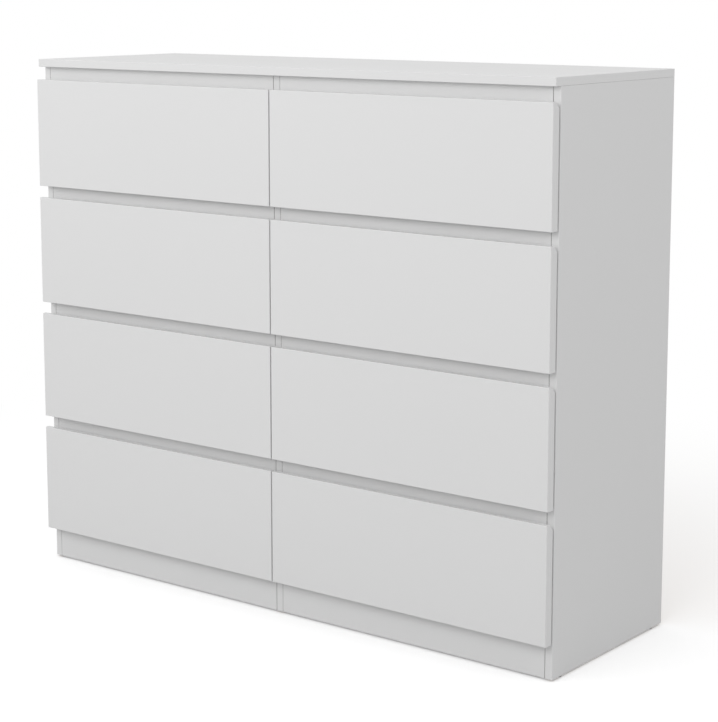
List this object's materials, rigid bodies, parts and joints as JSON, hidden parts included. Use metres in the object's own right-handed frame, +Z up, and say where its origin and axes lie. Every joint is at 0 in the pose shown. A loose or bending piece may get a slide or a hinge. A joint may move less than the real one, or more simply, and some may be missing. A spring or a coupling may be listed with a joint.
{
  "type": "chest of drawers",
  "caption": "Wide white chest of drawers with full overlay fronts side by side, opened by finger gaps in place of handles, on small glides.",
  "frame": {"origin": "centre of the chest's footprint, on the floor", "axes": "+X to the right as seen from the front, +Y to the rear (the drawers open towards -Y), +Z up"},
  "size_m": [1.2, 0.4, 1.021],
  "materials": {
    "white_board": "chipboard faced and edged in satin white melamine",
    "white_front": "fibreboard wrapped in satin white foil",
    "drawer_board": "chipboard wrapped in smooth white foil",
    "hardboard": "thin hardboard, white on one face and raw brown on the other",
    "runner_plastic": "moulded white plastic",
    "glide_plastic": "grey moulded plastic",
    "zinc_fitting": "zinc-plated steel screws and cast zinc cam fittings",
    "beech_dowel": "fluted beech dowels"
  },
  "bodies": {
    "carcass": {"side_panel_left": "white_board", "side_panel_right": "white_board", "centre_divider": "white_board", "top_panel": "white_board", "back_panel": "hardboard", "rear_rail": "white_board", "glides": "glide_plastic", "drawer_runners": "runner_plastic", "front_rail_left_1": "white_board", "front_rail_left_2": "white_board", "front_rail_left_3": "white_board", "front_rail_left_4": "white_board", "plinth_left": "white_board", "front_rail_right_1": "white_board", "front_rail_right_2": "white_board", "front_rail_right_3": "white_board", "front_rail_right_4": "white_board", "plinth_right": "white_board"},
    "drawer_left_1": {"drawer_left_1_front": "white_front", "drawer_left_1_side_left": "drawer_board", "drawer_left_1_side_right": "drawer_board", "drawer_left_1_back": "drawer_board", "drawer_left_1_bottom": "hardboard"},
    "drawer_left_2": {"drawer_left_2_front": "white_front", "drawer_left_2_side_left": "drawer_board", "drawer_left_2_side_right": "drawer_board", "drawer_left_2_back": "drawer_board", "drawer_left_2_bottom": "hardboard"},
    "drawer_left_3": {"drawer_left_3_front": "white_front", "drawer_left_3_side_left": "drawer_board", "drawer_left_3_side_right": "drawer_board", "drawer_left_3_back": "drawer_board", "drawer_left_3_bottom": "hardboard"},
    "drawer_left_4": {"drawer_left_4_front": "white_front", "drawer_left_4_side_left": "drawer_board", "drawer_left_4_side_right": "drawer_board", "drawer_left_4_back": "drawer_board", "drawer_left_4_bottom": "hardboard"},
    "drawer_right_1": {"drawer_right_1_front": "white_front", "drawer_right_1_side_left": "drawer_board", "drawer_right_1_side_right": "drawer_board", "drawer_right_1_back": "drawer_board", "drawer_right_1_bottom": "hardboard"},
    "drawer_right_2": {"drawer_right_2_front": "white_front", "drawer_right_2_side_left": "drawer_board", "drawer_right_2_side_right": "drawer_board", "drawer_right_2_back": "drawer_board", "drawer_right_2_bottom": "hardboard"},
    "drawer_right_3": {"drawer_right_3_front": "white_front", "drawer_right_3_side_left": "drawer_board", "drawer_right_3_side_right": "drawer_board", "drawer_right_3_back": "drawer_board", "drawer_right_3_bottom": "hardboard"},
    "drawer_right_4": {"drawer_right_4_front": "white_front", "drawer_right_4_side_left": "drawer_board", "drawer_right_4_side_right": "drawer_board", "drawer_right_4_back": "drawer_board", "drawer_right_4_bottom": "hardboard"}
  },
  "joints": [
    {"name": "drawer_left_1_slide", "type": "slide", "parent": "carcass", "child": "drawer_left_1", "axis": [0, -1, 0], "range_m": [0, 0.24]},
    {"name": "drawer_left_2_slide", "type": "slide", "parent": "carcass", "child": "drawer_left_2", "axis": [0, -1, 0], "range_m": [0, 0.24]},
    {"name": "drawer_left_3_slide", "type": "slide", "parent": "carcass", "child": "drawer_left_3", "axis": [0, -1, 0], "range_m": [0, 0.24]},
    {"name": "drawer_left_4_slide", "type": "slide", "parent": "carcass", "child": "drawer_left_4", "axis": [0, -1, 0], "range_m": [0, 0.24]},
    {"name": "drawer_right_1_slide", "type": "slide", "parent": "carcass", "child": "drawer_right_1", "axis": [0, -1, 0], "range_m": [0, 0.24]},
    {"name": "drawer_right_2_slide", "type": "slide", "parent": "carcass", "child": "drawer_right_2", "axis": [0, -1, 0], "range_m": [0, 0.24]},
    {"name": "drawer_right_3_slide", "type": "slide", "parent": "carcass", "child": "drawer_right_3", "axis": [0, -1, 0], "range_m": [0, 0.24]},
    {"name": "drawer_right_4_slide", "type": "slide", "parent": "carcass", "child": "drawer_right_4", "axis": [0, -1, 0], "range_m": [0, 0.24]}
  ]
}
